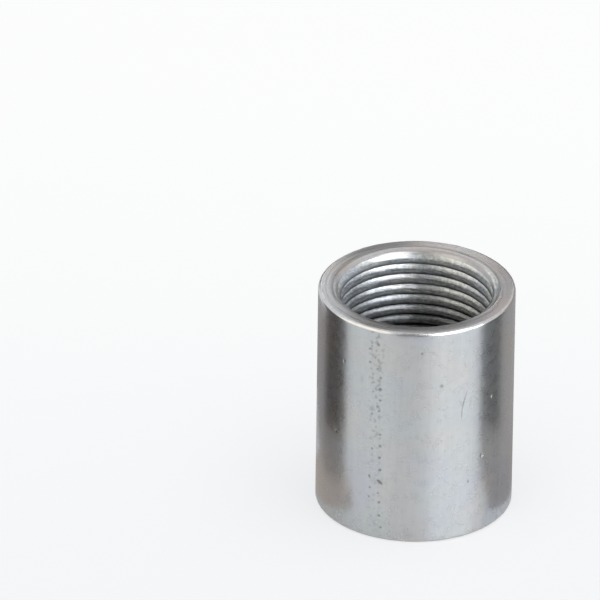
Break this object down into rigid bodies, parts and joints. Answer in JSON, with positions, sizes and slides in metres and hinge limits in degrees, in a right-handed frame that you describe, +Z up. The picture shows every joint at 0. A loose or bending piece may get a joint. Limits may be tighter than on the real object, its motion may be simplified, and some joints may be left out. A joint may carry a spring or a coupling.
{
  "type": "pipe socket",
  "caption": "Short round steel sleeve with a parallel pipe thread right through it, for joining threaded pipe ends in line.",
  "frame": {"origin": "centre of the lower end face, on the axis of the bore", "axes": "+Z up along the bore, from the lower end face to the upper one"},
  "size_m": [0.0394, 0.0394, 0.0476],
  "materials": {
    "zinc_plated_steel": "bright zinc plating over drawn and machined steel, lightly pitted"
  },
  "bodies": {
    "root": {"socket": "zinc_plated_steel"}
  },
  "joints": []
}
